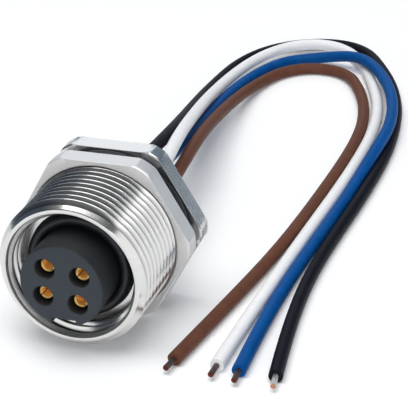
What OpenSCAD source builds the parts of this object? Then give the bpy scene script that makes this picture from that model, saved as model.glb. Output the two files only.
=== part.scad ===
// Circular panel mount connector: a round receptacle with socket contacts in a keyed
// insert, an outside thread with a hex lock nut for the panel, a hex flange at the back
// and four single wires. It lies on its hex flats, mouth towards -Y, wires towards +Y.

/* [Shell] */
// Outside diameter of the panel thread
thread_d = 26; // [25:0.5:30]
// Pitch of the panel thread
thread_pitch = 1.5; // [1:0.25:1.5]
// Length from the rim to the groove of the panel seal
barrel_len = 17.5; // [15:0.5:24]
// Inside diameter of the mouth, over the crests of the mating thread
mouth_d = 20.6; // [19.8:0.1:21.4]
// Depth of the mouth, from the rim to its floor
mouth_depth = 5.2; // [4.6:0.1:7]
// Lead-in chamfer inside the rim
mouth_chamfer = 0.95; // [0.5:0.05:1.1]
// Width of the flat ring left on the rim
rim_flat = 0.6; // [0.3:0.05:0.7]
// Depth of the mating thread, and of the run-out groove behind it
mating_thread_depth = 0.8; // [0.5:0.05:0.9]
// Length of the run-out groove at the mouth's floor
runout_len = 1; // [0.6:0.1:1.6]
// Thickness of the hex flange
flange_t = 3.5; // [2.5:0.1:6]
// Metal between the panel thread and the hex flats, on the flange and on the lock nut
hex_wall = 1; // [0.8:0.1:3]
// Height of the flange's turned corners over its flats
flange_corner = 1.65; // [1.2:0.05:2]
// Chamfer on turned edges
edge_break = 0.25; // [0.1:0.05:0.4]

/* [Lock nut] */
// Thickness of the nut
nut_t = 3.5; // [2:0.1:6]
// Height of the nut's turned corners over its flats
nut_corner = 1.5; // [1.2:0.05:2]
// Countersink at both ends of the nut's bore
nut_countersink = 0.3; // [0.1:0.05:0.5]
// Space between the nut and the panel seal
nut_gap = 0.3; // [0.3:0.1:4]

/* [Seals] */
// Section of the ring that seals the panel
panel_seal_section = 1.8; // [1.4:0.1:1.9]
// Depth of the groove that holds the panel seal
panel_seal_groove = 1; // [1:0.1:1.4]
// Section of the ring that seals the plug, round the foot of the spigot
face_seal_section = 1.8; // [1.2:0.1:1.9]

/* [Contact insert] */
// Diameter of the spigot that the plug slides over
spigot_d = 14.4; // [13.6:0.1:14.8]
// How far the spigot stands out of the rim
spigot_out = 3.5; // [1:0.1:5]
// Chamfer round the spigot's face
spigot_edge = 0.3; // [0.1:0.05:0.6]
// Width of the keyway along the spigot
keyway_w = 4.2; // [2:0.1:5]
// Depth of the keyway
keyway_depth = 1.3; // [0.6:0.1:1.6]
// Length of the carrier's foot, from the mouth's floor to the shoulder inside the shell
foot_len = 2.8; // [2:0.1:4]
// Length of the carrier behind the shoulder
tail_len = 5; // [3.5:0.1:6]
// Lip of the carrier that bears on the shoulder
lip = 0.6; // [0.4:0.05:0.8]

/* [Contacts] */
// Circle through the four contacts
contact_circle_d = 7.8; // [7.2:0.1:8]
// Half angle between the two contacts on one side
contact_half_angle = 40; // [36:1:45]
// Turn of the contact layout against the hex flats, seen from the front
contact_turn = -7; // [-30:1:30]
// Outside diameter of a contact's socket
contact_d = 2.5; // [2.2:0.05:2.7]
// Bore of a contact's socket
contact_bore_d = 1.6; // [1:0.05:1.8]
// Depth of the socket's bore
contact_bore_depth = 7; // [5:0.5:7]
// How far the contact sits behind the spigot's face
contact_recess = 1.4; // [0.4:0.1:2.5]
// Width of the slots that make the socket springy
contact_slot_w = 0.35; // [0.2:0.05:0.4]
// Length of those slots
contact_slot_len = 5; // [3:0.5:6]
// Diameter of the clearance chamber round each socket
chamber_d = 3.4; // [3:0.1:3.6]
// How far the collar that stops the contact in its carrier stands out
contact_collar = 0.5; // [0.3:0.05:0.6]
// Thickness of that collar
contact_collar_t = 1.5; // [1:0.1:2.5]
// How much thinner the solder tail is than the socket, on the radius
solder_tail_step = 0.15; // [0.1:0.05:0.4]
// Length of the solder tail behind the carrier
solder_tail_len = 4.5; // [2:0.5:6]

/* [Wires] */
// Diameter over a wire's insulation
wire_d = 2.4; // [2:0.1:2.4]
// Diameter of the bare strands
strand_d = 1; // [0.6:0.1:1.4]
// Length of the bare end
bare_len = 3; // [2:0.5:8]

/* [Fits] */
// Radial clearance between the lock nut and the thread
nut_clearance = 0.05; // [0.03:0.01:0.1]
// Clearance round the insert, the contacts and the seals
seat_clearance = 0.05; // [0.02:0.01:0.1]
// Slack beside a seal in its place
seal_slack = 0.2; // [0.1:0.05:0.3]
// How far the potting stays below the back of the flange
potting_recess = 0.3; // [0:0.1:1]

/* [Hidden] */
$fn = 96;
cut = 1;
thread_r = thread_d / 2;
mouth_r = mouth_d / 2;
spigot_r = spigot_d / 2;
contact_r = contact_d / 2;
contact_bore_r = contact_bore_d / 2;
chamber_r = chamber_d / 2;
wire_r = wire_d / 2;

// Depth of a metric thread as a share of its pitch
thread_depth_share = 0.625;

// Radii that follow from the fits
rim_chamfer = thread_r - mouth_r - mouth_chamfer - rim_flat;
groove_r = thread_r - panel_seal_groove;
thread_depth = thread_pitch * thread_depth_share;
thread_root_r = thread_r - thread_depth;
hex_r = thread_r + hex_wall;
seat_r = spigot_r + face_seal_section + seal_slack;
back_r = seat_r + lip;
collar_r = contact_r + contact_collar;
solder_tail_r = contact_r - solder_tail_step;

// Places along the axis, counted from the rim towards the back
flange_front = barrel_len + panel_seal_section + seal_slack;
body_len = flange_front + flange_t;
nut_front = flange_front - panel_seal_section - nut_gap - nut_t;
shoulder = mouth_depth + foot_len;
insert_back = shoulder + tail_len;
contact_front = contact_recess - spigot_out;
collar_front = insert_back - contact_collar_t;
potting_back = body_len - potting_recess;

// The part lies on its flats, centred over the origin without its wires
axis_z = hex_r;
rim_y = (spigot_out - body_len) / 2;
contact_angles = [
    180 - contact_half_angle + contact_turn,
    contact_half_angle + contact_turn,
    180 + contact_half_angle + contact_turn,
    -contact_half_angle + contact_turn
];

// Wire routes behind the exit: out of the potting, down to the table, round a loop and back
black_route = [
    [-2.6, 21, 16.8], [-2.8, 35, 16], [-5.6, 55, 11.9], [-9.4, 74, 7.2], [-12.3, 90.5, 3.6],
    [-13.3, 103, 1.7], [-12.9, 113, 1.3], [-10.3, 121, 1.3], [-5.6, 127.2, 1.3], [1, 130.8, 1.3],
    [8, 131.4, 1.3], [14, 128, 1.3], [18.2, 121, 1.3], [22, 114, 1.3], [25.6, 105.5, 1.3],
    [28.6, 95, 1.3], [30.6, 82, 1.3], [31.3, 68, 1.3], [31, 48, 1.3], [30, 27, 1.3],
    [31.3, 9, 1.3], [34.4, -10, 1.3]
];
white_route = [
    [3.1, 21, 16.5], [1.6, 32, 16.7], [-1, 45, 15.2], [-4.1, 60, 11.8], [-7.2, 75, 8.2],
    [-9.6, 90, 4.9], [-10.5, 102, 2.9], [-9.8, 111, 2.4], [-7.2, 119.4, 2.4], [-2.6, 125.6, 2.5],
    [3, 128.3, 2.3], [8.2, 127.6, 1.9], [12.5, 124, 1.4], [15.8, 118.5, 1.3], [20.2, 108, 1.3],
    [23.4, 99.5, 1.3], [25.8, 88, 1.3], [26.5, 72, 1.3], [26, 50, 1.3], [24.9, 27, 1.3],
    [24.4, -9.4, 1.3]
];
blue_route = [
    [-3.2, 21, 12], [-2.2, 37, 12], [-2.8, 53, 10.2], [-5.5, 68.5, 6.7], [-7.6, 83.5, 3.9],
    [-8.4, 97, 1.9], [-7.7, 106, 1.3], [-5.6, 113, 1.3], [-2.6, 118.5, 1.3], [2.5, 121.4, 1.3],
    [8.5, 121.8, 2.3], [13.6, 119.4, 3.7], [18.2, 115, 4], [22.4, 108.3, 3.8], [25.9, 101, 3.7],
    [28.5, 91.5, 3.8], [29.9, 82.5, 3.8], [29.6, 73.5, 3.4], [28.8, 63, 1.8], [28.5, 50, 1.3],
    [27.4, 27, 1.3], [27.2, 9, 1.3], [28.3, -10, 1.3]
];
brown_route = [
    [2.6, 21, 11.2], [1.7, 36, 11.5], [-0.1, 52, 11.3], [-2.6, 67, 8.1], [-4.4, 82, 5.1],
    [-5.2, 96, 2.6], [-4.5, 104, 1.5], [-2.7, 110, 1.3], [0.2, 114, 1.3], [4.6, 116.3, 1.3],
    [9.8, 115.9, 1.3], [13.7, 113.2, 1.3], [16.4, 108.7, 1.3], [20, 100.5, 1.3], [22.4, 91.5, 1.3],
    [23.6, 82, 1.3], [23.9, 70, 1.3], [23.4, 50, 1.3], [22.3, 28, 1.3], [19.8, 10, 1.3],
    [17.2, -9.5, 1.3]
];

nickel = [0.78, 0.79, 0.8];
rubber_black = [0.1, 0.11, 0.13];
insert_slate = [0.2, 0.21, 0.24];
contact_gold = [0.85, 0.6, 0.18];
bare_copper = [0.72, 0.66, 0.6];

// A point across the axis, by radius and angle, seen from the front with X right and Z up
function across(radius, angle) = [radius * cos(angle), -radius * sin(angle), 0];

// Where a wire leaves the potting
function wire_exit(contact) = [
    contact_circle_d / 2 * cos(contact_angles[contact]),
    rim_y + potting_back,
    axis_z + contact_circle_d / 2 * sin(contact_angles[contact])
];
function wire_path(contact, route) = concat([wire_exit(contact)], route);
function unit(v) = v / norm(v);

// Stands the turned pieces on the connector's axis: local Z runs from the rim to the back
module on_axis() {
    translate([0, rim_y, axis_z])
        rotate([-90, 0, 0])
            children();
}

// A hex blank with its corners turned off and its turned edges broken
module hex_blank(front, thickness, corner) {
    corner_r = hex_r + corner;
    translate([0, 0, front])
        intersection() {
            cylinder(h = thickness, r = hex_r / cos(30), $fn = 6);
            rotate_extrude()
                polygon([
                    [0, 0],
                    [corner_r - edge_break, 0],
                    [corner_r, edge_break],
                    [corner_r, thickness - edge_break],
                    [corner_r - edge_break, thickness],
                    [0, thickness]
                ]);
        }
}

// A rubber ring of round section, lying on a face at the given place
module seal_ring(inner_r, section, seat) {
    rotate_extrude()
        translate([inner_r + seat_clearance + section / 2, seat - seat_clearance - section / 2])
            circle(d = section, $fn = 48);
}

// A rod with a screw thread: the section of one pitch, as places along the axis and radii, is
// wound round the axis, and each end is closed by a fan of faces from a point on the axis
module threaded_rod(section, pitch, start, turns) {
    sides = 36;
    count = len(section);
    rows = turns * count;
    top = rows - count;
    points = [
        for (row = [0 : rows], side = [0 : sides - 1])
            let (
                corner = section[row % count],
                turn = floor(row / count) + side / sides
            )
            [
                corner[1] * cos(side * 360 / sides),
                corner[1] * sin(side * 360 / sides),
                start + corner[0] + pitch * turn
            ]
    ];
    start_point = len(points);
    end_point = start_point + 1;
    ends = [[0, 0, start + pitch / 2], [0, 0, start + pitch * (turns - 0.5)]];
    walls = [
        for (row = [0 : top - 1], side = [0 : sides - 1])
            let (
                next_row = side == sides - 1 ? row + count : row,
                next_side = (side + 1) % sides,
                a = row * sides + side,
                b = next_row * sides + next_side,
                c = b + sides,
                d = a + sides
            )
            each [[a, d, c], [a, c, b]]
    ];
    start_fan = concat(
        [for (side = [0 : sides - 2]) [start_point, side, side + 1]],
        [[start_point, sides - 1, count * sides]],
        [for (row = [0 : count - 1]) [start_point, (row + 1) * sides, row * sides]]
    );
    end_fan = concat(
        [for (side = [0 : sides - 2]) [end_point, top * sides + side + 1, top * sides + side]],
        [[end_point, rows * sides, top * sides + sides - 1]],
        [for (row = [top : rows - 1]) [end_point, row * sides, (row + 1) * sides]]
    );
    polyhedron(
        points = concat(points, ends),
        faces = concat(walls, start_fan, end_fan),
        convexity = 20
    );
}

// Barrel with the panel thread: flanks at 60 degrees between a flat root and a flat crest,
// trimmed at both ends to the barrel's chamfers
module threaded_barrel() {
    flank = thread_depth * tan(30);
    flat = thread_pitch / 2 - flank;
    clear = edge_break;
    intersection() {
        threaded_rod(
            [
                [0, thread_root_r],
                [flat, thread_root_r],
                [flat + flank, thread_r],
                [2 * flat + flank, thread_r]
            ],
            thread_pitch,
            -2 * thread_pitch,
            ceil(barrel_len / thread_pitch) + 4
        );
        rotate_extrude()
            polygon([
                [0, 0],
                [thread_r - rim_chamfer, 0],
                [thread_r + clear, rim_chamfer + clear],
                [thread_r + clear, barrel_len - edge_break - clear],
                [thread_r - edge_break, barrel_len],
                [0, barrel_len]
            ]);
    }
}

// Turned shell: rim, threaded barrel, seal groove and hex flange in one piece
module threaded_shell() {
    color(nickel)
        on_axis()
            difference() {
                union() {
                    threaded_barrel();
                    rotate_extrude()
                        polygon([
                            [0, barrel_len / 2],
                            [back_r, barrel_len / 2],
                            [groove_r, barrel_len],
                            [groove_r, flange_front + flange_t / 2],
                            [0, flange_front + flange_t / 2]
                        ]);
                    hex_blank(flange_front, flange_t, flange_corner);
                }
                rotate_extrude()
                    polygon([
                        [0, -cut],
                        [mouth_r + mouth_chamfer + cut, -cut],
                        [mouth_r, mouth_chamfer],
                        [mouth_r, mouth_depth - runout_len],
                        [mouth_r + mating_thread_depth, mouth_depth - runout_len],
                        [mouth_r + mating_thread_depth, mouth_depth],
                        [seat_r, mouth_depth],
                        [seat_r, shoulder],
                        [back_r, shoulder],
                        [back_r, body_len - edge_break],
                        [back_r + edge_break + cut, body_len + cut],
                        [0, body_len + cut]
                    ]);
            }
}

// Hex lock nut on the panel thread, countersunk at both ends
module lock_nut() {
    bore_r = thread_r + nut_clearance;
    color(nickel)
        on_axis()
            difference() {
                hex_blank(nut_front, nut_t, nut_corner);
                translate([0, 0, nut_front])
                    rotate_extrude()
                        polygon([
                            [0, -cut],
                            [bore_r + nut_countersink + cut, -cut],
                            [bore_r, nut_countersink],
                            [bore_r, nut_t - nut_countersink],
                            [bore_r + nut_countersink + cut, nut_t + cut],
                            [0, nut_t + cut]
                        ]);
            }
}

// Rubber ring in the groove, against the flange
module panel_seal() {
    color(rubber_black)
        on_axis()
            seal_ring(groove_r, panel_seal_section, flange_front);
}

// Rubber ring round the foot of the spigot, on the floor of the mouth
module face_seal() {
    color(rubber_black)
        on_axis()
            seal_ring(spigot_r, face_seal_section, mouth_depth);
}

// Moulded insert: the spigot, with a keyway and an open chamber round each contact
module contact_insert() {
    spigot_len = spigot_out + mouth_depth;
    color(insert_slate)
        on_axis()
            difference() {
                rotate_extrude()
                    polygon([
                        [0, -spigot_out],
                        [spigot_r - spigot_edge, -spigot_out],
                        [spigot_r, spigot_edge - spigot_out],
                        [spigot_r, mouth_depth],
                        [0, mouth_depth]
                    ]);
                translate([-keyway_w / 2, spigot_r - keyway_depth, -spigot_out - cut])
                    cube([keyway_w, keyway_depth + cut, spigot_len + 2 * cut]);
                for (angle = contact_angles)
                    translate(across(contact_circle_d / 2, angle))
                        translate([0, 0, -spigot_out - cut])
                            cylinder(h = spigot_len + 2 * cut, r = chamber_r);
            }
}

// Carrier behind the insert: foot in the mouth's floor, lip behind the shoulder
module contact_carrier() {
    color(insert_slate)
        on_axis()
            difference() {
                rotate_extrude()
                    polygon([
                        [0, mouth_depth],
                        [seat_r - seat_clearance, mouth_depth],
                        [seat_r - seat_clearance, shoulder],
                        [back_r - seat_clearance, shoulder],
                        [back_r - seat_clearance, insert_back],
                        [0, insert_back]
                    ]);
                for (angle = contact_angles)
                    translate(across(contact_circle_d / 2, angle))
                        contact_hole();
            }
}

// Close hole for one contact, with a seat for its collar at the back
module contact_hole() {
    translate([0, 0, mouth_depth - cut])
        cylinder(h = foot_len + tail_len + 2 * cut, r = contact_r + seat_clearance);
    translate([0, 0, collar_front])
        cylinder(h = contact_collar_t + cut, r = collar_r + seat_clearance);
}

// Turned socket contact: slotted socket with a lead-in, collar and solder tail
module socket_contact(index) {
    lead_in = (contact_r - contact_bore_r) / 2;
    bore_end = contact_front + contact_bore_depth;
    color(contact_gold)
        on_axis()
            translate(across(contact_circle_d / 2, contact_angles[index]))
                difference() {
                    rotate_extrude()
                        polygon([
                            [contact_bore_r + lead_in, contact_front],
                            [contact_r - lead_in / 2, contact_front],
                            [contact_r, contact_front + lead_in / 2],
                            [contact_r, collar_front],
                            [collar_r, collar_front],
                            [collar_r, insert_back],
                            [solder_tail_r, insert_back],
                            [solder_tail_r, insert_back + solder_tail_len],
                            [0, insert_back + solder_tail_len],
                            [0, bore_end + contact_bore_r / 2],
                            [contact_bore_r, bore_end],
                            [contact_bore_r, contact_front + lead_in]
                        ]);
                    rotate([0, 0, -contact_angles[index]])
                        translate([-contact_r - cut, -contact_slot_w / 2, contact_front - cut])
                            cube([contact_d + 2 * cut, contact_slot_w, contact_slot_len + cut]);
                }
}

module contact_1() {
    socket_contact(0);
}

module contact_2() {
    socket_contact(1);
}

module contact_3() {
    socket_contact(2);
}

module contact_4() {
    socket_contact(3);
}

// Potting that fills the back of the shell round the solder tails
module potting() {
    color(rubber_black)
        on_axis()
            difference() {
                translate([0, 0, insert_back])
                    cylinder(h = potting_back - insert_back, r = back_r);
                for (angle = contact_angles)
                    translate(across(contact_circle_d / 2, angle))
                        translate([0, 0, insert_back - cut])
                            cylinder(h = solder_tail_len + cut, r = solder_tail_r);
            }
}

// A wire's insulation: one ring of points at each point of the route, square to the run
module wire_tube(path) {
    sides = 8;
    last = len(path) - 1;
    points = [
        for (i = [0 : last])
            let (
                run = i == 0 ? [0, 1, 0] : unit(path[min(i + 1, last)] - path[i - 1]),
                side = unit(cross(run, [0, 0, 1])),
                rise = cross(side, run)
            )
            for (k = [0 : sides - 1])
                path[i] + wire_r * (cos(k * 360 / sides) * side + sin(k * 360 / sides) * rise)
    ];
    walls = [
        for (i = [0 : last - 1], k = [0 : sides - 1])
            let (next = (k + 1) % sides)
            [i * sides + k, (i + 1) * sides + k, (i + 1) * sides + next, i * sides + next]
    ];
    start_cap = [[for (k = [0 : sides - 1]) k]];
    end_cap = [[for (k = [0 : sides - 1]) last * sides + sides - 1 - k]];
    polyhedron(points = points, faces = concat(walls, start_cap, end_cap), convexity = 10);
}

module wire_black() {
    color([0.1, 0.1, 0.13])
        wire_tube(wire_path(0, black_route));
}

module wire_white() {
    color([0.93, 0.93, 0.92])
        wire_tube(wire_path(1, white_route));
}

module wire_blue() {
    color([0.02, 0.3, 0.6])
        wire_tube(wire_path(2, blue_route));
}

module wire_brown() {
    color([0.4, 0.25, 0.18])
        wire_tube(wire_path(3, brown_route));
}

// Bare strands that stand out of the cut insulation
module bare_end(route) {
    tip = route[len(route) - 1];
    run = tip - route[len(route) - 2];
    color(bare_copper)
        translate(tip)
            rotate([0, 90, atan2(run[1], run[0])])
                cylinder(h = bare_len, d = strand_d, $fn = 32);
}

module bare_end_black() {
    bare_end(black_route);
}

module bare_end_white() {
    bare_end(white_route);
}

module bare_end_blue() {
    bare_end(blue_route);
}

module bare_end_brown() {
    bare_end(brown_route);
}

threaded_shell();
lock_nut();
panel_seal();
contact_insert();
contact_carrier();
face_seal();
contact_1();
contact_2();
contact_3();
contact_4();
potting();
wire_black();
wire_white();
wire_blue();
wire_brown();
bare_end_black();
bare_end_white();
bare_end_blue();
bare_end_brown();
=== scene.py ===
import math

import bpy
from mathutils import Matrix, Vector


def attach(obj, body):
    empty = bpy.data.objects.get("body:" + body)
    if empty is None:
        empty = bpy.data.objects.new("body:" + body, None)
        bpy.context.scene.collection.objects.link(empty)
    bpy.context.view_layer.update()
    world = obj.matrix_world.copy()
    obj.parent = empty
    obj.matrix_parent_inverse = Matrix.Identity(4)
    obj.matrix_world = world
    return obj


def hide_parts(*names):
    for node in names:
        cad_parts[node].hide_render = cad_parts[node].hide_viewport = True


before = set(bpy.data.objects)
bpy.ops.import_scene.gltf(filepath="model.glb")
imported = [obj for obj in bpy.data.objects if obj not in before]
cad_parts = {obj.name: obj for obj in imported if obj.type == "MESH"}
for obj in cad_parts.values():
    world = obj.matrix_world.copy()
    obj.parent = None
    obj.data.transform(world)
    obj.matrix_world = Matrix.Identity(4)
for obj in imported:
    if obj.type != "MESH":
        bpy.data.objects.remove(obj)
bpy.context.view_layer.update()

# Threaded shell: turned from one hex bar of brass and nickel plated. The panel thread is cut
# along the barrel, the mating thread inside the mouth, and the bar's own flats are left on
# the flange at the back. The seal groove separates barrel and flange.
mm = 0.001
axis_z = 14 * mm
rim_y = -9.75 * mm
round_steps = 180
# The pieces' sizes are in millimetres, and places along the connector count back from its rim.
chamfer = 0.25
edge_break = 0.1
rim_in_r = 11.25
rim_out_r = 11.85
barrel_r = 13
barrel_back = 17.5
groove_r = 12
groove_lip = 0.05
flange_front = 19.5
flange_back = 23
flange_corner_r = 15.65
flat_r = 14
mouth_floor = 5.2
seat_r = 9.2
shoulder = 8
back_bore_r = 9.8
panel_pitch = 1.5
panel_root_r = 12.065
panel_thread_front = 0.2
mating_pitch = 1.5875
mating_crest_r = 10.3
mating_root_r = 11.1
mating_thread_front = 0.12
mating_thread_back = 5
lead_in_slope = 0.6
runout_slope = 2
crest_round = 0.15


def beside(radius, back):
    """A point on the +X side of the connector's axis, by its radius and distance behind the rim."""
    return Vector((radius * mm, rim_y + back * mm, axis_z))


def draw_lines(name, *lines):
    """A new object with open lines, each drawn by extruding one vertex from point to point."""
    bpy.ops.object.select_all(action="DESELECT")
    for number, line in enumerate(lines):
        bpy.ops.mesh.primitive_plane_add(size=mm, location=line[0])
        if number == 0:
            bpy.ops.object.transform_apply(location=True, rotation=False, scale=False)
            bpy.ops.object.mode_set(mode="EDIT")
        bpy.ops.mesh.merge(type="CENTER")
        for start, end in zip(line[:-1], line[1:]):
            bpy.ops.mesh.extrude_region_move(TRANSFORM_OT_translate={"value": end - start})
    bpy.ops.object.mode_set(mode="OBJECT")
    piece = bpy.context.active_object
    piece.name = name
    return piece


def close_seams():
    """Welds what touches in the mesh being edited, turns its faces outwards and leaves edit mode."""
    bpy.ops.mesh.select_all(action="SELECT")
    bpy.ops.mesh.remove_doubles(threshold=0.002 * mm)
    bpy.ops.mesh.normals_make_consistent(inside=False)
    bpy.ops.object.mode_set(mode="OBJECT")


def turned(name, *outlines, steps=round_steps, place=Vector()):
    """A piece turned once round an axis along Y, which lies at a place beside the connector's own.
    Its outlines hold pairs of radius and distance behind the rim."""
    lines = [[place + beside(radius, back) for radius, back in outline] for outline in outlines]
    piece = draw_lines(name, *lines)
    bpy.ops.object.mode_set(mode="EDIT")
    bpy.ops.mesh.select_all(action="SELECT")
    centre = place + Vector((0, 0, axis_z))
    bpy.ops.mesh.spin(steps=steps, angle=2 * math.pi, center=centre, axis=(0, 1, 0))
    close_seams()
    return piece


def hex_edge(corner_r, front, back):
    """The outside of a hex before its flats are cut, with both edges chamfered, from back to front, as
    pairs of radius and distance behind the rim."""
    return [
        (corner_r - chamfer, back), (corner_r, back - chamfer),
        (corner_r, front + chamfer), (corner_r - chamfer, front),
    ]


def mill_flats(piece, rings):
    """Cuts six flats into turned rings, given as pairs of radius and distance behind the rim."""
    step = 360 / round_steps
    found_within = 0.01
    for vertex in piece.data.vertices:
        across = vertex.co - Vector((0, vertex.co.y, axis_z))
        back = (vertex.co.y - rim_y) / mm
        for ring_r, ring_back in rings:
            if abs(back - ring_back) > found_within or abs(across.length / mm - ring_r) > found_within:
                continue
            angle = math.degrees(math.atan2(across.z, across.x))
            corner = 60 * round(angle / 60)
            off = angle - corner
            half = 30 - math.degrees(math.acos(flat_r / ring_r))
            # The point nearest to where a flat begins moves there, which gives the flat a clean end.
            if round(abs(off) / step) == max(1, round(half / step)):
                off = math.copysign(half, off)
            radius = min(ring_r, flat_r / math.cos(math.radians(30 - abs(off))))
            vertex.co.x = radius * mm * math.cos(math.radians(corner + off))
            vertex.co.z = axis_z + radius * mm * math.sin(math.radians(corner + off))
            break


def break_edges(piece, angle=35):
    """Breaks the sharp edges of a piece, as tumbling and plating do."""
    bevel = piece.modifiers.new("edge_break", "BEVEL")
    bevel.width = edge_break * mm
    bevel.segments = 2
    bevel.limit_method = "ANGLE"
    bevel.angle_limit = math.radians(angle)
    bpy.context.view_layer.objects.active = piece
    bpy.ops.object.modifier_apply(modifier=bevel.name)


def smooth_rounds(piece, angle=22):
    """Smooth shading on turned walls, with the edges left crisp."""
    bpy.ops.object.select_all(action="DESELECT")
    piece.select_set(True)
    bpy.context.view_layer.objects.active = piece
    bpy.ops.object.shade_smooth_by_angle(angle=math.radians(angle))


def barrel_blank(back):
    """Radius of the barrel before its thread is cut: chamfered at the rim and at the seal groove."""
    runout_r = groove_r + groove_lip + runout_slope * (barrel_back - back)
    return min(barrel_r, rim_out_r + back, runout_r)


def mouth_blank(back):
    """Radius of the mouth before its thread is cut: a lead-in at the rim and a run-out at the floor."""
    runout_r = mating_root_r - runout_slope * (mating_thread_back - back)
    return max(mating_crest_r, rim_in_r - lead_in_slope * back, runout_r)


def thread_ridge(pitch, crest_r, crest_at, root_r, root_w, corner_r, corner_w):
    """One pitch of a thread's section, as pairs of place and radius: its root with blunt corners, then
    its round crest."""
    root = [(0, corner_r), (corner_w, root_r), (root_w - corner_w, root_r), (root_w, corner_r)]
    towards_root = math.copysign(crest_round, root_r - crest_r)
    crest = []
    for lean in range(-60, 61, 15):
        place = crest_at + crest_round * math.sin(math.radians(lean))
        crest.append((place, crest_r + towards_root * (1 - math.cos(math.radians(lean)))))
    return [*root, *crest, (pitch, corner_r)]


def cut_thread(name, ridge, turns, first, limits, blank, trim):
    """One thread as a strip: a ridge over one pitch is wound round the axis, then trimmed to the blank
    that it is cut in, which gives the radius at a place. trim is min on a barrel and max in a bore."""
    points = [Vector((radius * mm, (first + place) * mm, 0)) for place, radius in ridge]
    strip = draw_lines(name, points)
    helix = strip.modifiers.new("helix", "SCREW")
    helix.axis = "Y"
    helix.steps = helix.render_steps = round_steps
    helix.screw_offset = ridge[-1][0] * mm
    helix.iterations = turns
    bpy.ops.object.modifier_apply(modifier=helix.name)
    for vertex in strip.data.vertices:
        across = Vector((vertex.co.x, 0, vertex.co.z))
        place = vertex.co.y / mm
        kept = min(max(place, limits[0]), limits[1])
        radius = across.length / mm if kept == place else blank(kept)
        across.length = trim(radius, blank(kept)) * mm
        vertex.co = (across.x, rim_y + kept * mm, axis_z + across.z)
    return strip


def join(piece, *others):
    """Joins other pieces into the first and welds them where they meet."""
    bpy.ops.object.select_all(action="DESELECT")
    for other in others:
        other.select_set(True)
    piece.select_set(True)
    bpy.context.view_layer.objects.active = piece
    bpy.ops.object.join()
    bpy.ops.object.mode_set(mode="EDIT")
    close_seams()


flange_edge = hex_edge(flange_corner_r, flange_front, flange_back)
shell = turned(
    "shell_turned",
    [
        (barrel_blank(panel_thread_front), panel_thread_front), (rim_out_r, 0),
        (rim_in_r, 0), (mouth_blank(mating_thread_front), mating_thread_front),
    ],
    [
        (mating_root_r, mating_thread_back), (mating_root_r, mouth_floor), (seat_r, mouth_floor),
        (seat_r, shoulder), (back_bore_r, shoulder),
        (back_bore_r, flange_back - chamfer), (back_bore_r + chamfer, flange_back),
        *flange_edge,
        (groove_r, flange_front), (groove_r, barrel_back), (groove_r + groove_lip, barrel_back),
    ],
)
mill_flats(shell, flange_edge)
break_edges(shell)
panel_thread = cut_thread(
    "panel_thread",
    thread_ridge(
        panel_pitch, crest_r=barrel_r, crest_at=0.88,
        root_r=panel_root_r, root_w=0.26, corner_r=12.12, corner_w=0.07,
    ),
    turns=14, first=-panel_pitch, limits=(panel_thread_front, barrel_back),
    blank=barrel_blank, trim=min,
)
mating_thread = cut_thread(
    "mating_thread",
    thread_ridge(
        mating_pitch, crest_r=mating_crest_r, crest_at=0.97,
        root_r=mating_root_r, root_w=0.5, corner_r=11.08, corner_w=0.05,
    ),
    turns=5, first=-2.16, limits=(mating_thread_front, mating_thread_back),
    blank=mouth_blank, trim=max,
)
join(shell, panel_thread, mating_thread)
smooth_rounds(shell)


class Tone:
    """One output of a finish's nodes. Sums and products of tones add their own Math nodes."""

    def __init__(self, tree, socket):
        self.tree = tree
        self.socket = socket

    def node(self, kind, settings, inputs, output=0):
        """Adds a node: its settings first, then the values or tones that feed its sockets."""
        added = self.tree.nodes.new(kind)
        for name, value in settings.items():
            setattr(added, name, value)
        for name, value in inputs.items():
            if isinstance(value, Tone):
                self.tree.links.new(value.socket, added.inputs[name])
            else:
                added.inputs[name].default_value = value
        return Tone(self.tree, added.outputs[output])

    def maths(self, operation, first, second):
        """Two tones or numbers put together by a Math node."""
        return self.node("ShaderNodeMath", {"operation": operation}, {0: first, 1: second})

    def __add__(self, other):
        return self.maths("ADD", self, other)

    __radd__ = __add__

    def __sub__(self, other):
        return self.maths("SUBTRACT", self, other)

    def __rsub__(self, other):
        return self.maths("SUBTRACT", other, self)

    def __mul__(self, other):
        return self.maths("MULTIPLY", self, other)

    __rmul__ = __mul__

    def __pow__(self, other):
        return self.maths("POWER", self, other)

    def clamp(self, low, high):
        """This tone spread from 0 to 1 between two values of it."""
        return self.node("ShaderNodeMapRange", {}, {"Value": self, "From Min": low, "From Max": high})

    def noise(self, scale, detail=2.0, roughness=0.5):
        """Cloudy noise over this place, from 0 to 1."""
        return self.node(
            "ShaderNodeTexNoise", {},
            {"Vector": self, "Scale": scale, "Detail": detail, "Roughness": roughness},
        )

    def blend(self, first, second):
        """One colour going over into another by this tone."""
        return self.node(
            "ShaderNodeMix", {"data_type": "RGBA"}, {"Factor": self, 6: first, 7: second}, output=2
        )

    def bump(self, strength, distance):
        """The surface's normal with this tone as its relief, distance in millimetres."""
        return self.node(
            "ShaderNodeBump", {}, {"Height": self, "Strength": strength, "Distance": distance * mm}
        )

    def part(self, name):
        """One coordinate of this place or direction."""
        return self.node("ShaderNodeSeparateXYZ", {}, {"Vector": self}, output="XYZ".index(name))

    def seen(self):
        """1 where the camera looks, also in a reflection or through glass, and 0 for other light."""
        paths = ("Is Camera Ray", "Is Glossy Ray", "Is Transmission Ray")
        rays = [self.node("ShaderNodeLightPath", {}, {}, output=path) for path in paths]
        return rays[0] + rays[1] + rays[2]


def new_finish(name):
    """A new material, its Principled shader, and the place on the object that its patterns follow."""
    material = bpy.data.materials.new(name)
    material.use_nodes = True
    tree = material.node_tree
    shader = tree.nodes["Principled BSDF"]
    coordinates = tree.nodes.new("ShaderNodeTexCoord")
    return material, shader, Tone(tree, coordinates.outputs["Object"])


def facing(place):
    """The way a surface faces, in the same frame as the place on it."""
    return Tone(place.tree, place.socket.node.outputs["Normal"])


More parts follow.
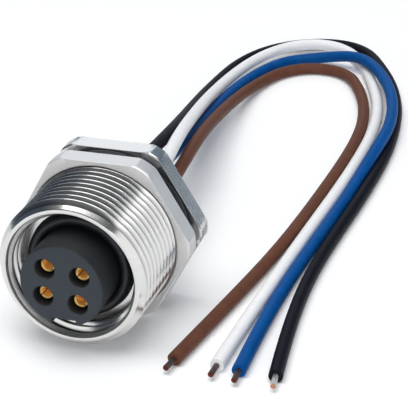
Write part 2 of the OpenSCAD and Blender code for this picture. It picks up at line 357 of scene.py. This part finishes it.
def feed(shader, **tones):
    """Feeds a shader's sockets: numbers and colours directly, tones by a link."""
    for name, value in tones.items():
        socket = shader.inputs[name.replace("_", " ")]
        if isinstance(value, Tone):
            value.tree.links.new(value.socket, socket)
        else:
            socket.default_value = value


def dress(piece, finishes, node, body="connector"):
    """Gives a piece its materials, its body and the solid that it stands for."""
    for material in finishes:
        piece.data.materials.append(material)
    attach(piece, body)
    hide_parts(node)


def nickel_plating(name, dark, pale, polish, faced_dullness):
    """Nickel over machined brass. It is duller on the bar's flats, on faces turned across the bar and
    in the lead-in of the mouth. The roots of the two threads are painted dark, as painted shade."""
    material, shader, spot = new_finish(name)
    from_axis = (spot.part("X") ** 2 + (spot.part("Z") - axis_z) ** 2) ** 0.5

    def grown(none_r, full_r):
        """0 at one radius round the axis and 1 at another, in millimetres."""
        return from_axis.clamp(none_r * mm, full_r * mm)

    cloud = spot.noise(160, 3)
    tool_marks = from_axis.node(
        "ShaderNodeTexNoise", {"noise_dimensions": "1D"},
        {"W": from_axis + spot.part("Y") * 0.7, "Scale": 5200, "Detail": 1.0},
    )
    faced = (facing(spot).part("Y") ** 2) ** 16
    behind_rim = spot.part("Y").clamp(rim_y + 1.1 * mm, rim_y + 1.5 * mm)
    panel_roots = grown(barrel_r - 0.25, panel_root_r + 0.085) * grown(groove_r - 0.2, groove_r)
    mating_roots = grown(mating_crest_r + 0.4, mating_root_r - 0.05)
    inside_wall = grown(mating_root_r + 0.04, mating_root_r)
    # Painted shade: the roots of both threads are painted dark, where shade falls in the grooves.
    painted_root_shade = (panel_roots + mating_roots * inside_wall) * behind_rim * 0.8
    lead_in = grown(rim_in_r + 0.01, rim_in_r - 0.05) * (1 - behind_rim)
    flats = grown(flat_r - 0.5, flat_r - 0.3) * (1 - faced)
    dulled = flats * 0.1 + faced * faced_dullness + lead_in * 0.32
    feed(
        shader,
        Base_Color=painted_root_shade.blend(cloud.blend(dark, pale), (0.1, 0.105, 0.11, 1)),
        Metallic=1.0,
        Roughness=polish + cloud * 0.1 + tool_marks * 0.05 + dulled,
        Normal=tool_marks.bump(0.12, 0.01),
    )
    return material


bright_nickel = nickel_plating(
    "bright_nickel", (0.66, 0.655, 0.64, 1), (0.74, 0.735, 0.72, 1), polish=0.1, faced_dullness=0.06
)
dress(shell, [bright_nickel], "threaded_shell")

# Panel seal: a moulded rubber ring of round section. It lies in the groove against the flange
# and is pressed on the panel by the nut. The mould's parting line runs round its outside.
parting_line = 0.03
small_steps = 48


def seal_ring(name, ring_r, section, back):
    """A rubber ring round the connector's axis, with a fine parting line."""
    bpy.ops.object.select_all(action="DESELECT")
    bpy.ops.mesh.primitive_torus_add(
        major_radius=ring_r * mm, minor_radius=section / 2 * mm,
        major_segments=round_steps, minor_segments=small_steps,
    )
    ring = bpy.context.active_object
    ring.name = name
    for vertex in ring.data.vertices:
        outwards = Vector((vertex.co.x, vertex.co.y, 0))
        if abs(vertex.co.z) < 0.001 * mm and outwards.length > ring_r * mm:
            outwards.length += parting_line * mm
            vertex.co = outwards
    upright = Matrix.Rotation(math.pi / 2, 4, "X")
    ring.data.transform(Matrix.Translation(beside(0, back)) @ upright)
    smooth_rounds(ring, 40)
    return ring


rubber, rubber_shader, spot = new_finish("seal_rubber")
grain = spot.noise(2400, 3, 0.6)
dust = spot.noise(420, 2)
feed(
    rubber_shader,
    Base_Color=dust.clamp(0.35, 0.75).blend((0.011, 0.013, 0.016, 1), (0.02, 0.023, 0.028, 1)),
    Roughness=0.3 + grain * 0.16,
    Specular_IOR_Level=0.4,
    Normal=grain.bump(0.25, 0.02),
)
panel_seal = seal_ring("panel_seal_ring", ring_r=13.05, section=1.84, back=18.55)
dress(panel_seal, [rubber], "panel_seal")

# Lock nut: a thin hex nut from the same bar as the shell, with its corners turned down and its
# bore countersunk at both ends. It screws along the panel thread and clamps the panel.
nut_front = 13.9
nut_back = 17.4
nut_corner_r = 15.5
nut_bore_r = 13.05
nut_root_r = 13.28
sink = 0.3
nut_thread_front = nut_front + 0.05
nut_thread_back = nut_back - 0.05


def nut_blank(back):
    """Radius of the nut's bore before its thread is cut, with the countersinks at its ends."""
    return max(nut_bore_r, nut_bore_r + sink - min(back - nut_front, nut_back - back))


nut_edge = hex_edge(nut_corner_r, nut_front, nut_back)
nut = turned(
    "lock_nut_turned",
    [
        (nut_blank(nut_thread_back), nut_thread_back), (nut_bore_r + sink, nut_back),
        *nut_edge,
        (nut_bore_r + sink, nut_front), (nut_blank(nut_thread_front), nut_thread_front),
    ],
)
mill_flats(nut, nut_edge)
break_edges(nut)
nut_thread = cut_thread(
    "nut_thread",
    [
        (0, nut_root_r), (0.4, nut_root_r), (0.62, nut_bore_r), (1.28, nut_bore_r),
        (panel_pitch, nut_root_r),
    ],
    turns=5, first=12, limits=(nut_thread_front, nut_thread_back), blank=nut_blank, trim=max,
)
join(nut, nut_thread)
smooth_rounds(nut)
# The nut's nickel is satin, so rougher, and painted paler than the shell's, as painted light.
satin_nickel_painted_light = nickel_plating(
    "satin_nickel_painted_light", (0.82, 0.815, 0.81, 1), (0.9, 0.895, 0.89, 1), polish=0.42, faced_dullness=0.45
)
dress(nut, [satin_nickel_painted_light], "lock_nut", body="nut")

# Contact insert: moulded from dark glass-filled plastic. The spigot that the plug slides over has
# a keyway and an open chamber round each contact, and stands on the carrier in the shell's bore.
spigot_r = 7.2
spigot_front = -3.5
keyway_w = 4.2
keyway_floor = 5.9
chamber_r = 1.7
chamber_chamfer = 0.14
contact_ring_r = 3.9
contact_angles = [math.radians(angle) for angle in (133, 33, 213, -47)]
contact_places = [
    Vector((contact_ring_r * math.cos(angle), 0, contact_ring_r * math.sin(angle))) * mm
    for angle in contact_angles
]


def cap_ends():
    """Closes the open ends of the active piece's turned walls with flat faces."""
    bpy.ops.object.mode_set(mode="EDIT")
    bpy.ops.mesh.select_all(action="SELECT")
    bpy.ops.mesh.fill_holes(sides=0)
    close_seams()


def carve(piece, tool):
    """Cuts a tool's shape out of a piece."""
    cut = piece.modifiers.new("carve", "BOOLEAN")
    cut.operation = "DIFFERENCE"
    cut.solver = "EXACT"
    cut.object = tool
    bpy.context.view_layer.objects.active = piece
    bpy.ops.object.modifier_apply(modifier=cut.name)
    bpy.data.objects.remove(tool, do_unlink=True)


def carve_hole(piece, place, *outline):
    """Cuts a turned hole along a contact's axis, by pairs of radius and distance behind the rim."""
    tool = turned("hole_tool", outline, steps=small_steps, place=place)
    cap_ends()
    carve(piece, tool)


def block_tool(middle, size, angle=0):
    """A plain block to cut with, by its middle and its size, turned round an axis along Y."""
    bpy.ops.object.select_all(action="DESELECT")
    bpy.ops.mesh.primitive_cube_add(size=1)
    tool = bpy.context.active_object
    sized = Matrix.Diagonal((*(Vector(size) * mm), 1))
    tool.data.transform(Matrix.Translation(middle) @ Matrix.Rotation(angle, 4, "Y") @ sized)
    return tool


insert = turned(
    "contact_insert_moulded",
    [
        (spigot_r - 0.35, spigot_front), (spigot_r - 0.18, spigot_front + 0.05),
        (spigot_r - 0.05, spigot_front + 0.18), (spigot_r, spigot_front + 0.35),
        (spigot_r, mouth_floor),
    ],
)
cap_ends()
keyway_tool = (keyway_w, 12, 4)
keyway_middle = beside(0, 1) - Vector((0, 0, (keyway_floor + keyway_tool[2] / 2) * mm))
carve(insert, block_tool(keyway_middle, keyway_tool))
for place in contact_places:
    carve_hole(
        insert, place,
        (chamber_r + chamber_chamfer + 1, spigot_front - 1),
        (chamber_r, spigot_front + chamber_chamfer), (chamber_r, mouth_floor + 1),
    )
break_edges(insert, angle=60)
smooth_rounds(insert, 25)
plastic, plastic_shader, spot = new_finish("insert_plastic")
spark = spot.noise(3000, 4, 0.7)
patch = spot.noise(300, 2)
# Painted light and shade: faces across the axis are painted lighter, the spigot's sides and chamber
# walls darker.
painted_face_light = (facing(spot).part("Y") ** 2) ** 4
feed(
    plastic_shader,
    Base_Color=(painted_face_light * 0.8 + patch * 0.25).blend((0.013, 0.015, 0.016, 1), (0.026, 0.036, 0.048, 1)),
    Roughness=0.5 + spark * 0.15,
    Specular_IOR_Level=0.4,
    Normal=spark.bump(0.3, 0.03),
)
dress(insert, [plastic], "contact_insert")

# Contact carrier: a disc of the same plastic behind the spigot. Its foot fills the shell's bore, its
# lip bears on the shell's shoulder from behind, and its close holes hold the contacts.
foot_r = 9.15
lip_r = 9.75
carrier_back = 13
contact_hole_r = 1.3
collar_hole_r = 1.8
collar_front = 11.5
carrier = turned(
    "contact_carrier_moulded",
    [
        (foot_r - 0.05, mouth_floor), (foot_r, mouth_floor + 0.05), (foot_r, shoulder),
        (lip_r, shoulder), (lip_r, carrier_back),
    ],
)
cap_ends()
for place in contact_places:
    carve_hole(
        carrier, place,
        (contact_hole_r, mouth_floor - 1), (contact_hole_r, collar_front),
        (collar_hole_r, collar_front), (collar_hole_r, carrier_back + 1),
    )
smooth_rounds(carrier, 25)
dress(carrier, [plastic], "contact_carrier")

# Face seal: a thinner rubber ring round the foot of the spigot, on the floor of the mouth. The
# plug's nose is pressed on it when its coupling screw is tight.
face_seal = seal_ring("face_seal_ring", ring_r=8.15, section=1.8, back=4.25)
dress(face_seal, [rubber], "face_seal")

# Contacts: turned brass sockets, slotted so that they grip a pin, and gold plated. A collar stops
# each one in the carrier from behind, and its solder tail reaches into the potting.
contact_front = -2.1
contact_r = 1.25
contact_bore_r = 0.8
contact_bore_tip = 5.3
collar_r = 1.75
tail_r = 1.1
tail_back = 17.5
slot_w = 0.2
slot_len = 5


def worn_metal(name, dark, pale, scale, dullness):
    """Plain metal with cloudy wear in its colour and its polish."""
    material, shader, spot = new_finish(name)
    wear = spot.noise(scale, 3)
    feed(shader, Base_Color=wear.blend(dark, pale), Metallic=1.0, Roughness=dullness + wear * 0.18)
    return material


gold = worn_metal("gold_plating", (0.95, 0.6, 0.18, 1), (1, 0.7, 0.27, 1), 900, 0.4)
# The bores are drilled, so rougher, and their gold is painted paler than outside: painted light in the
# dark bores.
bore_gold_painted_light = worn_metal("bore_gold_painted_light", (1, 0.68, 0.22, 1), (1, 0.78, 0.34, 1), 900, 0.8)
for number, place in enumerate(contact_places, 1):
    contact = turned(
        "contact_%d_socket" % number,
        [
            (0, contact_bore_tip), (contact_bore_r, contact_bore_tip - 0.4),
            (contact_bore_r, contact_front + 0.24), (contact_bore_r + 0.07, contact_front + 0.08),
            (contact_bore_r + 0.2, contact_front), (contact_r - 0.13, contact_front),
            (contact_r - 0.04, contact_front + 0.05), (contact_r, contact_front + 0.16),
            (contact_r, collar_front), (collar_r, collar_front), (collar_r, carrier_back),
            (tail_r, carrier_back), (tail_r, tail_back), (0, tail_back),
        ],
        steps=small_steps, place=place,
    )
    slot_middle = place + beside(0, contact_front + (slot_len - 1) / 2)
    slot_tool = block_tool(slot_middle, (4, slot_len + 1, slot_w), -math.atan2(place.z, place.x))
    carve(contact, slot_tool)
    smooth_rounds(contact, 30)
    dress(contact, [gold, bore_gold_painted_light], "contact_%d" % number)
    for face in contact.data.polygons:
        out = face.center - place - Vector((0, face.center.y, axis_z))
        in_bore = out.length < (contact_bore_r + 0.1) * mm
        if in_bore and face.center.y < rim_y + (contact_bore_tip + 0.7) * mm:
            face.material_index = 1

# Potting: black resin poured into the back of the shell round the solder tails. It crept up the
# wall and the wires before it set, so its face is slightly dished.
wire_d = 2.4
potting_back = 22.7
face_rings = 26
creep_h = 0.2
creep_most = 0.25
wall_reach = 0.45
wire_reach = 0.4
dish = 0.05
face_radii = [back_bore_r * (face_rings - ring) / face_rings for ring in range(face_rings + 1)]
potting = turned(
    "potting_fill",
    [(back_bore_r, carrier_back), *((radius, potting_back) for radius in face_radii)],
    [(back_bore_r, carrier_back), (0, carrier_back)],
)
for vertex in potting.data.vertices:
    if vertex.co.y < rim_y + (potting_back - 0.01) * mm:
        continue
    across = Vector((vertex.co.x, 0, vertex.co.z - axis_z))
    creep = creep_h * math.exp((across.length / mm - back_bore_r) / wall_reach)
    for exit_place in contact_places:
        from_wire = max((across - exit_place).length / mm - wire_d / 2, 0)
        creep += creep_h * math.exp(-from_wire / wire_reach)
    vertex.co.y += (min(creep, creep_most) - dish) * mm
smooth_rounds(potting, 50)
resin, resin_shader, spot = new_finish("potting_resin")
cloud = spot.noise(260, 2)
feed(
    resin_shader,
    Base_Color=cloud.blend((0.008, 0.008, 0.009, 1), (0.016, 0.016, 0.018, 1)),
    Roughness=0.22 + cloud * 0.2,
    Normal=spot.noise(700, 2).bump(0.08, 0.05),
)
dress(potting, [resin], "potting")

# Bare ends: nineteen tinned copper strands, laid in two layers round a middle one with a slight
# twist. The cut through the tinning shows the copper. Only the black wire's end is still bright.
bare_len = 3
strand_r = 0.098
strand_spacing = 0.2
strand_root = 1
twist_steps = 8
twist_angle = math.radians(9)
bright_tin = worn_metal("bright_tin", (0.86, 0.84, 0.8, 1), (0.95, 0.94, 0.9, 1), 1500, 0.36)
dull_tin = worn_metal("dull_tin", (0.14, 0.11, 0.1, 1), (0.26, 0.21, 0.19, 1), 1500, 0.36)
bright_copper = worn_metal("bright_copper", (0.55, 0.25, 0.15, 1), (0.75, 0.38, 0.24, 1), 1500, 0.36)
dull_copper = worn_metal("dull_copper", (0.13, 0.025, 0.015, 1), (0.22, 0.045, 0.028, 1), 1500, 0.36)


def strand_bundle(colour, place, run):
    """The bare strands at a wire's end: their circles are pushed out along the wire and twisted."""
    bpy.ops.object.select_all(action="DESELECT")
    for layer, count in enumerate((1, 6, 12)):
        out = strand_spacing * layer * mm
        for strand in range(count):
            angle = 2 * math.pi * strand / count
            bpy.ops.mesh.primitive_circle_add(
                vertices=10, radius=strand_r * mm, fill_type="NGON",
                location=(out * math.cos(angle), out * math.sin(angle), -strand_root * mm),
            )
            if layer == 0:
                bpy.ops.object.transform_apply(location=True, rotation=False, scale=False)
                bpy.ops.object.mode_set(mode="EDIT")
    bpy.ops.mesh.select_all(action="SELECT")
    push = (0, 0, (bare_len + strand_root) / twist_steps * mm)
    for _ in range(twist_steps):
        bpy.ops.mesh.extrude_region_move(TRANSFORM_OT_translate={"value": push})
        bpy.ops.transform.rotate(value=twist_angle, orient_axis="Z", center_override=(0, 0, 0))
    bpy.ops.mesh.select_all(action="SELECT")
    bpy.ops.mesh.normals_make_consistent(inside=False)
    bpy.ops.object.mode_set(mode="OBJECT")
    bundle = bpy.context.active_object
    bundle.name = "wire_%s_strands" % colour
    metals = [bright_tin, bright_copper] if colour == "black" else [dull_tin, dull_copper]
    dress(bundle, metals, "bare_end_%s" % colour)
    for face in bundle.data.polygons:
        if face.center.z > (bare_len - 0.05) * mm:
            face.material_index = 1
    bundle.data.transform(Matrix.Translation(place) @ run.to_track_quat("Z", "Y").to_matrix().to_4x4())
    smooth_rounds(bundle, 40)
    return bundle


# Wires: four single wires with soft extruded insulation, one soldered to each contact. They leave
# the potting together, droop to the table, run round one loose loop and come back beside the shell.
wire_routes = {
    "black": [
        (-2.6, 21, 16.8), (-2.8, 35, 16), (-5.6, 55, 11.9), (-9.4, 74, 7.2), (-12.3, 90.5, 3.6),
        (-13.3, 103, 1.7), (-12.9, 113, 1.3), (-10.3, 121, 1.3), (-5.6, 127.2, 1.3), (1, 130.8, 1.3),
        (8, 131.4, 1.3), (14, 128, 1.3), (18.2, 121, 1.3), (22, 114, 1.3), (25.6, 105.5, 1.3),
        (28.6, 95, 1.3), (30.6, 82, 1.3), (31.3, 68, 1.3), (31, 48, 1.3), (30, 27, 1.3),
        (31.3, 9, 1.3), (34.4, -10, 1.3),
    ],
    "white": [
        (3.1, 21, 16.5), (1.6, 32, 16.7), (-1, 45, 15.2), (-4.1, 60, 11.8), (-7.2, 75, 8.2),
        (-9.6, 90, 4.9), (-10.5, 102, 2.9), (-9.8, 111, 2.4), (-7.2, 119.4, 2.4), (-2.6, 125.6, 2.5),
        (3, 128.3, 2.3), (8.2, 127.6, 1.9), (12.5, 124, 1.4), (15.8, 118.5, 1.3), (20.2, 108, 1.3),
        (23.4, 99.5, 1.3), (25.8, 88, 1.3), (26.5, 72, 1.3), (26, 50, 1.3), (24.9, 27, 1.3),
        (24.4, -9.4, 1.3),
    ],
    "blue": [
        (-3.2, 21, 12), (-2.2, 37, 12), (-2.8, 53, 10.2), (-5.5, 68.5, 6.7), (-7.6, 83.5, 3.9),
        (-8.4, 97, 1.9), (-7.7, 106, 1.3), (-5.6, 113, 1.3), (-2.6, 118.5, 1.3), (2.5, 121.4, 1.3),
        (8.5, 121.8, 2.3), (13.6, 119.4, 3.7), (18.2, 115, 4), (22.4, 108.3, 3.8), (25.9, 101, 3.7),
        (28.5, 91.5, 3.8), (29.9, 82.5, 3.8), (29.6, 73.5, 3.4), (28.8, 63, 1.8), (28.5, 50, 1.3),
        (27.4, 27, 1.3), (27.2, 9, 1.3), (28.3, -10, 1.3),
    ],
    "brown": [
        (2.6, 21, 11.2), (1.7, 36, 11.5), (-0.1, 52, 11.3), (-2.6, 67, 8.1), (-4.4, 82, 5.1),
        (-5.2, 96, 2.6), (-4.5, 104, 1.5), (-2.7, 110, 1.3), (0.2, 114, 1.3), (4.6, 116.3, 1.3),
        (9.8, 115.9, 1.3), (13.7, 113.2, 1.3), (16.4, 108.7, 1.3), (20, 100.5, 1.3), (22.4, 91.5, 1.3),
        (23.6, 82, 1.3), (23.9, 70, 1.3), (23.4, 50, 1.3), (22.3, 28, 1.3), (19.8, 10, 1.3),
        (17.2, -9.5, 1.3),
    ],
}
wire_colours = {
    "black": ((0.005, 0.005, 0.01, 1), (0.009, 0.009, 0.015, 1)),
    "white": ((0.92, 0.918, 0.915, 1), (0.96, 0.958, 0.955, 1)),
    "blue": ((0.001, 0.07, 0.27, 1), (0.002, 0.09, 0.33, 1)),
    "brown": ((0.125, 0.049, 0.03, 1), (0.155, 0.062, 0.039, 1)),
}
for (colour, route), exit_place in zip(wire_routes.items(), contact_places):
    start = exit_place + beside(0, potting_back)
    points = [start] + [Vector(point) * mm for point in route]
    line = bpy.data.curves.new("wire_%s_insulation" % colour, "CURVE")
    line.dimensions = "3D"
    line.bevel_depth = wire_d / 2 * mm
    line.bevel_resolution = 6
    line.use_fill_caps = True
    spline = line.splines.new("NURBS")
    spline.points.add(len(points) - 1)
    for knot, point in zip(spline.points, points):
        knot.co = (*point, 1)
    spline.order_u = 4
    spline.use_endpoint_u = True
    spline.resolution_u = 8
    wire = bpy.data.objects.new(line.name, line)
    bpy.context.scene.collection.objects.link(wire)
    insulation, insulation_shader, spot = new_finish("%s_insulation" % colour)
    mottle = spot.noise(500, 3)
    feed(
        insulation_shader,
        Base_Color=mottle.clamp(0.3, 0.7).blend(*wire_colours[colour]),
        Roughness=0.42 + mottle * 0.16,
        Specular_IOR_Level=0.08,
        Normal=mottle.bump(0.12, 0.05),
    )
    dress(wire, [insulation], "wire_%s" % colour)
    strands = strand_bundle(colour, points[-1], points[-1] - points[-2])

# Table: plain and white, and wide enough for every view. It keeps the soft shadows, and glows a little
# for the camera and in reflections, more so far away, so that it reads as white outside the shadows.
near_glow = 0.11
far_glow = 0.8
bpy.ops.object.select_all(action="DESELECT")
bpy.ops.mesh.primitive_plane_add(size=3, location=(0, 0, 0))
table = bpy.context.active_object
table.name = "table"
white, white_shader, spot = new_finish("table_white")
far_away = ((spot.part("X") ** 2 + spot.part("Y") ** 2) ** 0.5).clamp(0.3, 1.0)
feed(
    white_shader,
    Base_Color=(0.98, 0.98, 0.98, 1),
    Roughness=0.9,
    Specular_IOR_Level=0.1,
    Emission_Color=spot.seen() * (near_glow + far_away * far_glow),
    Emission_Strength=1.0,
)
table.data.materials.append(white)

# Light: four soft boxes, overhead, at the back, in front and on the right. They stand in a dim bluish
# room with a pale ceiling, which is white only where the camera looks at it directly.
lit_spot = Vector((0, 0, 0.01))


def soft_box(name, place, size, power):
    """A broad area lamp at a place, aimed at the connector."""
    lamp = bpy.data.lights.new(name, "AREA")
    lamp.shape = "RECTANGLE"
    lamp.size, lamp.size_y = size
    lamp.energy = power
    box = bpy.data.objects.new(name, lamp)
    bpy.context.scene.collection.objects.link(box)
    box.location = place
    box.rotation_euler = (lit_spot - Vector(place)).to_track_quat("-Z", "Y").to_euler()


soft_box("top_box", (0, -0.17, 0.96), (0.9, 0.7), 7.2)
soft_box("back_box", (-0.38, 0.84, 0.5), (0.8, 0.5), 1.4)
soft_box("front_box", (-0.03, -0.93, 0.31), (1.3, 0.62), 2.8)
soft_box("right_box", (0.78, -0.58, 0.31), (0.8, 0.62), 1.7)
room = bpy.data.worlds.new("room")
room.use_nodes = True
shade = room.node_tree.nodes["Background"]
shade.inputs["Color"].default_value = (0.65, 0.8, 1, 1)
shade.inputs["Strength"].default_value = 0.07
towards = Tone(room.node_tree, room.node_tree.nodes.new("ShaderNodeTexCoord").outputs["Generated"])


def lay_over(under, colour, strength, share):
    """The room's light with one more colour laid over it where its share says."""
    over = towards.node("ShaderNodeBackground", {}, {"Color": colour, "Strength": strength})
    return towards.node("ShaderNodeMixShader", {}, {0: share, 1: under, 2: over})


dim = Tone(room.node_tree, shade.outputs[0])
walls = lay_over(dim, (0.55, 0.76, 1, 1), 0.26, towards.part("Y").clamp(-0.4, 0.6))
ceiling = lay_over(walls, (1, 1, 1, 1), 0.35, towards.part("Z").clamp(0.6, 0.95))
camera_ray = towards.node("ShaderNodeLightPath", {}, {}, output="Is Camera Ray")
surround = lay_over(ceiling, (1, 1, 1, 1), 1.0, camera_ray)
room.node_tree.links.new(surround.socket, room.node_tree.nodes["World Output"].inputs["Surface"])
bpy.context.scene.world = room
bpy.context.scene.view_settings.view_transform = "Standard"

# Camera: a long lens, in front of the mouth and to its right, from well above the table. The mouth, the
# barrel, the loop of the wires and their bare ends all show.
camera = bpy.data.objects.new("camera", bpy.data.cameras.new("camera"))
bpy.context.scene.collection.objects.link(camera)
camera.data.sensor_width = 36
camera.data.lens = 158.8
camera.location = (0.10805, -0.24098, 0.15093)
camera.rotation_euler = [math.radians(angle) for angle in (63.83, 2.01, 19.11)]
bpy.context.scene.camera = camera
